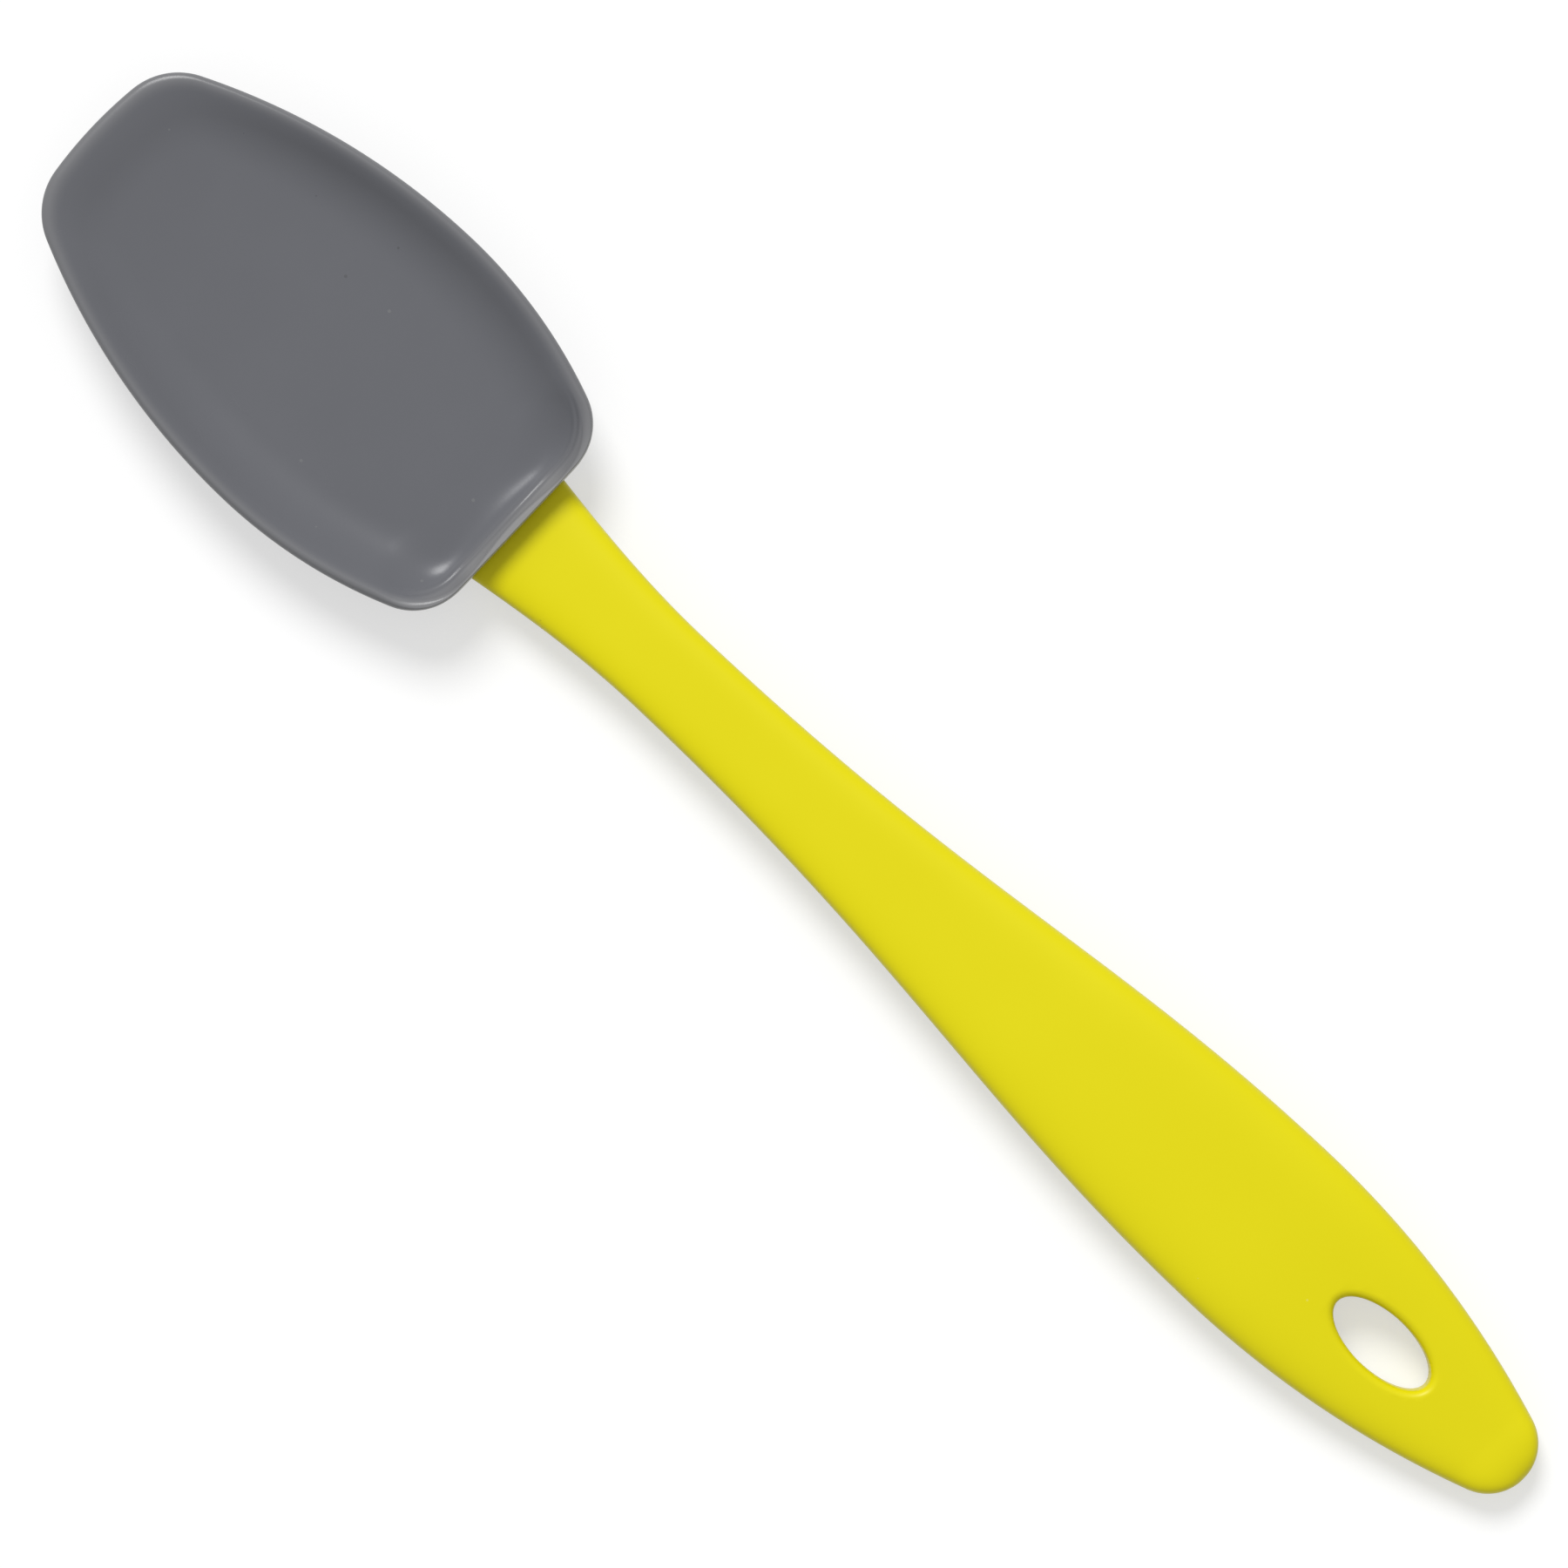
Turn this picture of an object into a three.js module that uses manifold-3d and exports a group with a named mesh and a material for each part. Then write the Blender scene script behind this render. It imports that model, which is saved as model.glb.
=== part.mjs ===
// Silicone spoon: a moulded silicone head pushed onto the ribbed tang of a one-piece plastic handle.
// Millimetres. The spoon lies bowl up. X runs from the head's tip to the handle's tail, Z is up, and
// the origin is on the surface that the spoon lies on, under the middle of its length.
// Both pieces are drawn from the head's mouth, where X is 0: the head lies at -X, the handle at +X.

import * as THREE from 'three';
import { mergeVertices } from 'three/addons/utils/BufferGeometryUtils.js';
import Module from 'manifold-3d';

const wasm = await Module();
wasm.setup();

const { clamp, lerp, smoothstep } = THREE.MathUtils;

// Head outline, seen from above: arcs that run into each other
const headLength = 77.2;
const headWidth = 47.5;
const widestFromTip = 46.5;
const tipEdgeRadius = 60;
const tipCornerRadius = 9.5;
const frontSideRadius = 97;
const rearSideRadius = 69.5;
const rearCornerRadius = 8.2;
const rearEdgeRadius = 900;

// Bowl, seen from the side
const bowlDepth = 4;
const scoopLength = 38;
const tipRimDrop = 0.4;
const tipLip = 0.9;
const floorThickness = 3;
const tipThickness = 2.1;
const rimRound = 1.1;
const rimLand = 1.6;
const innerWallRun = 8.4;
const rearWallRun = 4.4;
const rearWallReach = 18;
const innerWallHollow = 2.7;
const bellyRun = 12.5;

// Socket and its housing under the bowl
const fitClearance = 0.3;
const socketWall = 1.6;
const roofCover = 0.3;
const humpWall = 2;
const housingSideWall = 2.2;
const housingNoseWall = 1.8;
const housingNoseRun = 15;
const housingTrim = 0.8;
const housingEdgeRound = 0.7;
const housingSquareness = 3;

// Handle outline, seen from above
const handleReach = 182.8;
const mouthWidth = 17.8;
const mouthFlareRun = 8;
const mouthFlareTaper = 0.15;
const neckFromMouth = 27.3;
const neckWidth = 12.9;
const neckRunIn = 10;
const neckRunOut = 50;
const bellyFromMouth = 134.5;
const bellyWidth = 27.1;
const bellyRunIn = 39;
const tailRadius = 6.7;

// Handle, seen from the side and in section
const mouthThickness = 6;
const neckThickness = 6;
const bellyThickness = 8;
const tailThickness = 6.4;
const archRise = 2;
const mouthSquareness = 3.6;
const gripSquareness = 4;
const tailSquareness = 3;

// Tang
const tangLength = 34;
const shankLength = 10;
const tangThickness = 3;
const tangRootWidth = 14;
const tangEndWidth = 10;
const tangSquareness = 6;
const tangEndRound = 0.8;
const ribCount = 4;
const ribHeight = 0.4;
const ribRadius = 1.2;
const ribEndMargin = 4.5;
const ribSideMargin = 2;

// Hanging hole
const holeLength = 16.2;
const holeWidth = 7.6;
const holeFromTail = 26.15;
const holeEdgeRound = 1.2;
const holeOverrun = 2;

// Colours
const siliconeGrey = 0x6c6d72;
const handleYellow = 0xe6db1f;
const siliconeRoughness = 0.5;
const handleRoughness = 0.38;

// Fineness of the facets
const tipEdgeSteps = 4;
const cornerSteps = 7;
const sideSteps = 9;
const rearEdgeSteps = 4;
const bellySteps = 6;
const rimSteps = 3;
const innerWallSteps = 9;
const wallSpacing = 1.4;
const floorRings = 3;
const floorCentreShare = 0.12;
const sectionSteps = 32;
const shankSteps = 5;
const flareSteps = 6;
const gripSteps = 16;
const tailSideSteps = 10;
const tailEndSteps = 8;
const tailEndAngle = 0.06;
const noseSteps = 5;
const holeSteps = 36;
const holeRoundSteps = 4;
const ribSteps = 16;
const weldTolerance = 1e-4;

// Heights above the surface that the spoon lies on, from the socket's floor up
const mouthBottom = socketWall + fitClearance;
const tangBottom = mouthBottom + ribHeight;
const tangTop = tangBottom + tangThickness;
const floorHeight = tangTop + ribHeight + fitClearance + socketWall;
const rimHeight = floorHeight + bowlDepth;
const tipRimHeight = rimHeight - tipRimDrop;
const tipFloorHeight = tipRimHeight - tipLip;

// Places along the length
const tipX = -headLength;
const headMiddleX = -headLength / 2;
const widestX = tipX + widestFromTip;
const socketEndX = -tangLength - fitClearance;
const tailCentreX = handleReach - tailRadius;
const holeX = handleReach - holeFromTail;

// A closed surface through rings of points, each ring the mirror of itself across the XZ plane
function loft(rings) {
  const size = rings[0].length;
  const half = size / 2;
  const triangles = [];
  const addQuad = (a, b, c, d) => triangles.push(a, b, c, a, c, d);
  for (let ring = 0; ring + 1 < rings.length; ring += 1) {
    for (let i = 0; i < size; i += 1) {
      const next = (i + 1) % size;
      addQuad(ring * size + i, (ring + 1) * size + i, (ring + 1) * size + next, ring * size + next);
    }
  }
  const last = (rings.length - 1) * size;
  triangles.push(0, 1, size - 1, half - 1, half, half + 1);
  triangles.push(last, last + size - 1, last + 1, last + half - 1, last + half + 1, last + half);
  for (let i = 1; i + 1 < half; i += 1) {
    addQuad(i, i + 1, size - i - 1, size - i);
    addQuad(last + i, last + size - i, last + size - i - 1, last + i + 1);
  }
  const geometry = new THREE.BufferGeometry().setFromPoints(rings.flat());
  geometry.setIndex(triangles);
  return geometry;
}

function toSolid(geometry) {
  const bare = geometry.clone();
  bare.deleteAttribute('normal');
  bare.deleteAttribute('uv');
  const merged = mergeVertices(bare, weldTolerance);
  const vertProperties = merged.attributes.position.array;
  const triVerts = new Uint32Array(merged.index.array);
  return new wasm.Manifold(new wasm.Mesh({ numProp: 3, vertProperties, triVerts }));
}

function toMesh(name, solid, material) {
  const { vertProperties, triVerts } = solid.getMesh();
  const geometry = new THREE.BufferGeometry();
  geometry.setAttribute('position', new THREE.BufferAttribute(vertProperties, 3));
  geometry.setIndex(new THREE.BufferAttribute(triVerts, 1));
  geometry.computeVertexNormals();
  const mesh = new THREE.Mesh(geometry, material);
  mesh.name = name;
  return mesh;
}

// Cross-sections of the handle, the tang and the socket: a rounded box across X, its corners set by
// the squareness, from 2 for an ellipse upwards
function sectionRing(x, section) {
  const middle = (section.top + section.bottom) / 2;
  const halfHeight = (section.top - section.bottom) / 2;
  const bulge = (value) => Math.sign(value) * Math.abs(value) ** (2 / section.squareness);
  return Array.from({ length: sectionSteps }, (_, step) => {
    const angle = (step / sectionSteps) * 2 * Math.PI;
    const y = step === 0 || step === sectionSteps / 2 ? 0 : section.halfWidth * bulge(Math.sin(angle));
    return new THREE.Vector3(x, y, middle + halfHeight * bulge(Math.cos(angle)));
  });
}

function blendSections(from, to, share) {
  return {
    halfWidth: lerp(from.halfWidth, to.halfWidth, share),
    bottom: lerp(from.bottom, to.bottom, share),
    top: lerp(from.top, to.top, share),
    squareness: lerp(from.squareness, to.squareness, share),
  };
}

function growSection(section, side, under = side, over = side) {
  return {
    halfWidth: section.halfWidth + side,
    bottom: section.bottom - under,
    top: section.top + over,
    squareness: section.squareness,
  };
}

const mouthSection = {
  halfWidth: mouthWidth / 2,
  bottom: mouthBottom,
  top: mouthBottom + mouthThickness,
  squareness: mouthSquareness,
};
const tangRootSection = {
  halfWidth: tangRootWidth / 2,
  bottom: tangBottom,
  top: tangTop,
  squareness: tangSquareness,
};
const tangEndSection = { ...tangRootSection, halfWidth: tangEndWidth / 2 };

// The tang tapers evenly to its end and swells through the shank into the handle's full section
function tangSection(x) {
  if (x > -shankLength) {
    return blendSections(tangRootSection, mouthSection, smoothstep(x, -shankLength, 0));
  }
  return blendSections(tangRootSection, tangEndSection, (x + shankLength) / (shankLength - tangLength));
}

// The socket clears the tang's ribs, and past the shank it closes round the handle
function socketSection(x) {
  const ribRoom = ribHeight * (1 - smoothstep(x, -shankLength, 0));
  return growSection(tangSection(x), fitClearance, fitClearance + ribRoom, fitClearance + ribRoom);
}

function shankStations() {
  return Array.from({ length: shankSteps }, (_, step) => -shankLength * (1 - step / shankSteps));
}

// Head outline
function insideFillet(first, second, radius) {
  const fromFirst = first.radius - radius;
  const fromSecond = second.radius - radius;
  const apart = Math.hypot(second.x - first.x, second.y - first.y);
  const along = (fromFirst ** 2 - fromSecond ** 2 + apart ** 2) / (2 * apart);
  const across = Math.sqrt(fromFirst ** 2 - along ** 2);
  const directionX = (second.x - first.x) / apart;
  const directionY = (second.y - first.y) / apart;
  const side = Math.sign(directionX);
  return {
    x: first.x + along * directionX - side * across * directionY,
    y: first.y + along * directionY + side * across * directionX,
    radius,
  };
}

function headOutline() {
  const tipEdge = { x: tipX + tipEdgeRadius, y: 0, radius: tipEdgeRadius };
  const frontSide = { x: widestX, y: headWidth / 2 - frontSideRadius, radius: frontSideRadius };
  const rearSide = { x: widestX, y: headWidth / 2 - rearSideRadius, radius: rearSideRadius };
  const rearEdge = { x: -rearEdgeRadius, y: 0, radius: rearEdgeRadius };
  const tipCorner = insideFillet(tipEdge, frontSide, tipCornerRadius);
  const rearCorner = insideFillet(rearEdge, rearSide, rearCornerRadius);
  const towards = (circle, target) => Math.atan2(target.y - circle.y, target.x - circle.x);
  const arcs = [
    { circle: tipEdge, end: towards(tipEdge, tipCorner), steps: tipEdgeSteps },
    { circle: tipCorner, end: towards(frontSide, tipCorner), steps: cornerSteps },
    { circle: frontSide, end: Math.PI / 2, steps: sideSteps },
    { circle: rearSide, end: towards(rearSide, rearCorner), steps: sideSteps },
    { circle: rearCorner, end: towards(rearEdge, rearCorner), steps: cornerSteps },
    { circle: rearEdge, end: 0, steps: rearEdgeSteps },
  ];
  const half = [];
  let start = Math.PI;
  for (const { circle, end, steps } of arcs) {
    const curve = new THREE.ArcCurve(circle.x, circle.y, circle.radius, start, end, true);
    half.push(...curve.getPoints(steps).slice(0, -1));
    start = end;
  }
  const tip = new THREE.Vector2(tipX, 0);
  const rear = new THREE.Vector2(0, 0);
  const upper = half.slice(1);
  const lower = upper.map((point) => new THREE.Vector2(point.x, -point.y)).reverse();
  return [tip, ...upper, rear, ...lower];
}

// Heights of the bowl along X: towards the tip the rim sinks and the floor climbs to meet it
function scoopShare(x) {
  return clamp((tipX + scoopLength - x) / scoopLength, 0, 1);
}

function rimTop(x) {
  return lerp(rimHeight, tipRimHeight, scoopShare(x) ** 2);
}

function floorTop(x) {
  return lerp(floorHeight, tipFloorHeight, scoopShare(x) ** 2);
}

function underside(x) {
  return floorTop(x) - lerp(floorThickness, tipThickness, scoopShare(x));
}

// How much of the inner wall's height is left at an inset: a hollow curve, drawn in at the rear
function wallShare(inset, x) {
  const run = lerp(innerWallRun, rearWallRun, smoothstep(x, -rearWallReach, 0));
  return clamp(1 - (inset - rimLand) / run, 0, 1) ** innerWallHollow;
}

// The dish is a loft of rings, each the outline drawn in by an inset towards the head's middle line
function dishGeometry() {
  const outline = headOutline();
  const reach = headWidth / 2;
  const spineShare = 1 - headWidth / headLength;
  const ring = (inset, heightAt) => {
    const share = 1 - inset / reach;
    const shareX = lerp(spineShare, 1, share);
    return outline.map((point) => {
      const x = headMiddleX + (point.x - headMiddleX) * shareX;
      return new THREE.Vector3(x, point.y * share, heightAt(x));
    });
  };
  const centreInset = reach * (1 - floorCentreShare);
  const rings = [];
  for (let step = 0; step < floorRings; step += 1) {
    rings.push(ring(lerp(centreInset, bellyRun, step / floorRings), underside));
  }
  for (let step = 0; step < bellySteps; step += 1) {
    const angle = (step / bellySteps) * Math.PI / 2;
    const edge = (x) => rimTop(x) - rimRound;
    const height = (x) => lerp(edge(x), underside(x), Math.cos(angle));
    rings.push(ring(bellyRun * (1 - Math.sin(angle)), height));
  }
  for (let step = 0; step <= rimSteps; step += 1) {
    const angle = (step / rimSteps) * Math.PI / 2;
    const height = (x) => rimTop(x) - rimRound * (1 - Math.sin(angle));
    rings.push(ring(rimRound * (1 - Math.cos(angle)), height));
  }
  for (let step = 0; step <= innerWallSteps; step += 1) {
    const inset = rimLand + innerWallRun * (step / innerWallSteps) ** wallSpacing;
    rings.push(ring(inset, (x) => lerp(floorTop(x), rimTop(x), wallShare(inset, x))));
  }
  for (let step = 1; step <= floorRings; step += 1) {
    rings.push(ring(lerp(rimLand + innerWallRun, centreInset, step / floorRings), floorTop));
  }
  return loft(rings);
}

// The housing wraps the socket: a keel under the bowl with a rounded nose, and a collar at the mouth.
// Its roof stays covered by the bowl's floor until it swells over the shank, as a low hump.
function housingSection(x) {
  const roof = lerp(socketWall - roofCover, humpWall, smoothstep(x, -shankLength, 0));
  const around = growSection(socketSection(x), housingSideWall, 0, roof);
  return { ...around, bottom: -housingTrim, squareness: housingSquareness };
}

function housingGeometry() {
  const plainEndX = socketEndX - housingNoseWall;
  const end = housingSection(-tangLength);
  const noseTip = { ...end, halfWidth: 0, bottom: end.top };
  const rings = [];
  for (let step = 1; step <= noseSteps; step += 1) {
    const angle = (step / (noseSteps + 1)) * Math.PI / 2;
    const section = blendSections(noseTip, end, Math.sin(angle));
    rings.push(sectionRing(plainEndX - housingNoseRun * Math.cos(angle), section));
  }
  rings.push(sectionRing(plainEndX, end));
  for (const x of [-tangLength, ...shankStations(), -housingEdgeRound]) {
    rings.push(sectionRing(x, housingSection(x)));
  }
  const mouthEdge = growSection(housingSection(0), -housingEdgeRound, 0, -housingEdgeRound);
  rings.push(sectionRing(0, mouthEdge));
  return loft(rings);
}

function socketGeometry() {
  const rings = [sectionRing(socketEndX, socketSection(-tangLength))];
  for (const x of [-tangLength, ...shankStations(), 0]) {
    rings.push(sectionRing(x, socketSection(x)));
  }
  rings.push(sectionRing(fitClearance, socketSection(0)));
  return loft(rings);
}

function makeSiliconeHead() {
  const below = new THREE.BoxGeometry(2 * headLength, 2 * headWidth, 2 * rimHeight);
  below.translate(headMiddleX, 0, -rimHeight);
  const head = toSolid(dishGeometry())
    .add(toSolid(housingGeometry()))
    .subtract(toSolid(below))
    .subtract(toSolid(socketGeometry()));
  const silicone = new THREE.MeshStandardMaterial({
    color: siliconeGrey,
    roughness: siliconeRoughness,
    metalness: 0,
  });
  return toMesh('silicone_head', head, silicone);
}

// Handle outline: points of X and half width, from the mouth to the tail
function gripOutline() {
  const mouth = new THREE.Vector2(0, mouthWidth / 2);
  const neck = new THREE.Vector2(neckFromMouth, neckWidth / 2);
  const belly = new THREE.Vector2(bellyFromMouth, bellyWidth / 2);
  const flare = new THREE.CubicBezierCurve(
    mouth,
    new THREE.Vector2(mouthFlareRun, mouth.y - mouthFlareRun * mouthFlareTaper),
    new THREE.Vector2(neck.x - neckRunIn, neck.y),
    neck,
  );
  const swell = new THREE.CubicBezierCurve(
    neck,
    new THREE.Vector2(neck.x + neckRunOut, neck.y),
    new THREE.Vector2(belly.x - bellyRunIn, belly.y),
    belly,
  );
  const run = tailCentreX - belly.x;
  const sideRadius = (run ** 2 + belly.y ** 2 - tailRadius ** 2) / (2 * (belly.y - tailRadius));
  const sideCentreY = belly.y - sideRadius;
  const meeting = Math.atan2(-sideCentreY, run);
  const side = new THREE.ArcCurve(belly.x, sideCentreY, sideRadius, Math.PI / 2, meeting, true);
  const end = new THREE.ArcCurve(tailCentreX, 0, tailRadius, meeting, tailEndAngle, true);
  return [
    ...flare.getPoints(flareSteps),
    ...swell.getPoints(gripSteps).slice(1),
    ...side.getPoints(tailSideSteps).slice(1),
    ...end.getPoints(tailEndSteps).slice(1),
  ];
}

function gripThickness(x) {
  if (x < neckFromMouth) {
    return lerp(mouthThickness, neckThickness, smoothstep(x, 0, neckFromMouth));
  }
  if (x < bellyFromMouth) {
    return lerp(neckThickness, bellyThickness, smoothstep(x, neckFromMouth, bellyFromMouth));
  }
  return lerp(bellyThickness, tailThickness, smoothstep(x, bellyFromMouth, tailCentreX));
}

// The handle's middle height: a low arch from the mouth down to the tail, which touches the surface
function gripMiddle(x) {
  const share = Math.min(x / tailCentreX, 1);
  const chord = lerp(mouthBottom + mouthThickness / 2, tailThickness / 2, share);
  return chord + archRise * (1 - (2 * share - 1) ** 2);
}

function gripSection(x, halfWidth) {
  const intoTail = clamp((x - tailCentreX) / tailRadius, 0, 1);
  const endRound = (1 - intoTail ** tailSquareness) ** (1 / tailSquareness);
  const halfHeight = gripThickness(x) / 2 * endRound;
  const middle = gripMiddle(x);
  return {
    halfWidth,
    bottom: middle - halfHeight,
    top: middle + halfHeight,
    squareness: lerp(mouthSquareness, gripSquareness, smoothstep(x, 0, neckFromMouth)),
  };
}

function handleBodyGeometry() {
  const endFace = growSection(tangSection(-tangLength), -tangEndRound);
  const rings = [sectionRing(-tangLength, endFace)];
  for (const x of [tangEndRound - tangLength, ...shankStations()]) {
    rings.push(sectionRing(x, tangSection(x)));
  }
  for (const point of gripOutline()) {
    rings.push(sectionRing(point.x, gripSection(point.x, point.y)));
  }
  return loft(rings);
}

// Half-round ribs across both faces of the tang
function ribGeometries() {
  const firstX = -shankLength - ribEndMargin;
  const lastX = ribEndMargin - tangLength;
  const ribs = [];
  for (let index = 0; index < ribCount; index += 1) {
    const x = lerp(firstX, lastX, index / (ribCount - 1));
    const width = 2 * (tangSection(x).halfWidth - ribSideMargin);
    const sink = ribRadius - ribHeight;
    for (const height of [tangTop - sink, tangBottom + sink]) {
      const rib = new THREE.CylinderGeometry(ribRadius, ribRadius, width, ribSteps);
      ribs.push(rib.translate(x, 0, height));
    }
  }
  return ribs;
}

// The hole's cutter: an oval that follows the handle's faces and flares out to round both edges
function holeGeometry() {
  const ring = (flare, heightAt) => Array.from({ length: holeSteps }, (_, step) => {
    const angle = (step / holeSteps) * 2 * Math.PI;
    const x = holeX + (holeLength / 2 + flare) * Math.cos(angle);
    const y = step % (holeSteps / 2) === 0 ? 0 : (holeWidth / 2 + flare) * Math.sin(angle);
    return new THREE.Vector3(x, y, heightAt(x));
  });
  const under = (x) => gripMiddle(x) - gripThickness(x) / 2;
  const over = (x) => gripMiddle(x) + gripThickness(x) / 2;
  const rings = [ring(holeEdgeRound, (x) => under(x) - holeOverrun)];
  for (let step = 0; step <= holeRoundSteps; step += 1) {
    const angle = (step / holeRoundSteps) * Math.PI / 2;
    const flare = holeEdgeRound * (1 - Math.sin(angle));
    rings.push(ring(flare, (x) => under(x) + holeEdgeRound * (1 - Math.cos(angle))));
  }
  for (let step = holeRoundSteps; step >= 0; step -= 1) {
    const angle = (step / holeRoundSteps) * Math.PI / 2;
    const flare = holeEdgeRound * (1 - Math.sin(angle));
    rings.push(ring(flare, (x) => over(x) - holeEdgeRound * (1 - Math.cos(angle))));
  }
  rings.push(ring(holeEdgeRound, (x) => over(x) + holeOverrun));
  return loft(rings.reverse());
}

function makeHandle() {
  let handle = toSolid(handleBodyGeometry());
  for (const rib of ribGeometries()) {
    handle = handle.add(toSolid(rib));
  }
  handle = handle.subtract(toSolid(holeGeometry()));
  const plastic = new THREE.MeshStandardMaterial({
    color: handleYellow,
    roughness: handleRoughness,
    metalness: 0,
  });
  return toMesh('handle', handle, plastic);
}

const fromMouth = new THREE.Group();
fromMouth.position.x = (headLength - handleReach) / 2;
fromMouth.add(makeHandle(), makeSiliconeHead());

const spoon = new THREE.Group();
spoon.add(fromMouth);

export default spoon;
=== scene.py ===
import math

import bpy
import numpy as np
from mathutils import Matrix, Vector


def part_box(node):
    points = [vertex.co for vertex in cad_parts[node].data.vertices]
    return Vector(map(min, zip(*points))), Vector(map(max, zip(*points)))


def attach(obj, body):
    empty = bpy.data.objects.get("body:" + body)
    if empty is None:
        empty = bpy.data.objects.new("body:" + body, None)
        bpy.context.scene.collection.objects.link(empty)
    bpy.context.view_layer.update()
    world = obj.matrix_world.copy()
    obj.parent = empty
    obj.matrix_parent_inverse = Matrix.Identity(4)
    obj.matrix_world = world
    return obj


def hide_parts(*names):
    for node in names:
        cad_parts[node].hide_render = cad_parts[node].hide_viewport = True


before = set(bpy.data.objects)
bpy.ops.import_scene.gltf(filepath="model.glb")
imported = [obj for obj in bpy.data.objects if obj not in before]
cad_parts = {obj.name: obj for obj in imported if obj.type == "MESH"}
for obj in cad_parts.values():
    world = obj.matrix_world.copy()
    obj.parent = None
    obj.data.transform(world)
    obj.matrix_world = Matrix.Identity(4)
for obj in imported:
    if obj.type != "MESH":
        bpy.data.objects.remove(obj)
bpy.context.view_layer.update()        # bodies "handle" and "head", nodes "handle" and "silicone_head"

mm = 0.001  # shapes are worked out in millimetres and become metres as each mesh is made

# Sizes that the frame gives. Both pieces are drawn from the head's mouth, where x is 0:
# the head lies towards -x, the handle towards +x.
headLow, headHigh = [np.array(corner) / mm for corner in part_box("silicone_head")]
handleLow, handleHigh = [np.array(corner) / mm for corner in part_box("handle")]
mouthX = headHigh[0]
headLength = mouthX - headLow[0]
headWidth = headHigh[1] - headLow[1]
rimHeight = headHigh[2]
handleReach = handleHigh[0] - mouthX
tangLength = mouthX - handleLow[0]
print("frame loaded: head", headLength, "by", headWidth, "mm, handle reach", handleReach, "mm")


# Small maths

def lerp(first, second, share):
    return first + (second - first) * share


def smoothstep(value, low, high):
    share = np.clip((value - low) / (high - low), 0, 1)
    return share * share * (3 - 2 * share)


def smoothMin(first, second, reach):
    near = np.maximum(reach - np.abs(first - second), 0) / reach
    return np.minimum(first, second) - near * near * reach / 4


def smoothMax(first, second, reach):
    return -smoothMin(-first, -second, reach)


def bezier(points, steps):
    t = np.linspace(0, 1, steps + 1)[:, None]
    a, b, c, d = [np.array(point, float) for point in points]
    return a * (1 - t) ** 3 + 3 * b * t * (1 - t) ** 2 + 3 * c * t ** 2 * (1 - t) + d * t ** 3


def arc(circle, start, end, steps):
    x, y, radius = circle
    angle = np.linspace(start, end, steps + 1)
    return np.column_stack([x + radius * np.cos(angle), y + radius * np.sin(angle)])


# Meshes

def loft(rings):
    # a closed skin through rings of points, each ring its own mirror across the xz plane
    count, size = len(rings), len(rings[0])
    half = size // 2
    faces = []
    for ring in range(count - 1):
        low, high = ring * size, (ring + 1) * size
        for i in range(size):
            following = (i + 1) % size
            faces.append((low + i, high + i, high + following, low + following))
    last = (count - 1) * size
    faces.append((0, 1, size - 1))
    faces.append((half - 1, half, half + 1))
    faces.append((last, last + size - 1, last + 1))
    faces.append((last + half - 1, last + half + 1, last + half))
    for i in range(1, half - 1):
        faces.append((i, i + 1, size - i - 1, size - i))
        faces.append((last + i, last + size - i, last + size - i - 1, last + i + 1))
    return np.concatenate(rings), faces


def makeObject(name, rings):
    points, faces = loft(rings)
    mesh = bpy.data.meshes.new(name)
    mesh.from_pydata(((points + [mouthX, 0, 0]) * mm).tolist(), [], faces)
    mesh.validate()
    piece = bpy.data.objects.new(name, mesh)
    bpy.context.scene.collection.objects.link(piece)
    return piece


def cutAway(piece, cutter):
    cut = piece.modifiers.new("cut", "BOOLEAN")
    cut.operation = "DIFFERENCE"
    cut.solver = "EXACT"
    cut.object = cutter
    evaluated = piece.evaluated_get(bpy.context.evaluated_depsgraph_get())
    carved = bpy.data.meshes.new_from_object(evaluated)
    carved.name = piece.name
    piece.modifiers.clear()
    piece.data = carved
    bpy.data.objects.remove(cutter)


sharpAngle = 38  # edges that turn by more degrees than this stay crisp


def finishPiece(piece, material, node, body):
    piece.data.shade_smooth()
    piece.data.set_sharp_from_angle(angle=math.radians(sharpAngle))
    piece.data.materials.clear()
    piece.data.materials.append(material)
    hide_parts(node)
    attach(piece, body)


# Sections across x are arrays of half width, bottom, top and squareness: a rounded box whose
# corners go from an ellipse at squareness 2 to nearly square

def sectionRing(x, section, steps=96):
    halfWidth, bottom, top, squareness = section
    angle = np.linspace(0, 2 * math.pi, steps, endpoint=False)
    across, upward = np.sin(angle), np.cos(angle)
    y = halfWidth * np.sign(across) * np.abs(across) ** (2 / squareness)
    y[[0, steps // 2]] = 0
    z = (top + bottom) / 2 + (top - bottom) / 2 * np.sign(upward) * np.abs(upward) ** (2 / squareness)
    return np.column_stack([np.full(steps, x), y, z])


leastWidth = 1e-6  # stands in for a width of nothing


def archShare(y, halfWidth, squareness):
    share = np.clip(np.abs(y) / np.maximum(halfWidth, leastWidth), 0, 1)
    return (1 - share ** squareness) ** (1 / squareness)


# Handle: one plastic moulding with a ribbed tang

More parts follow.
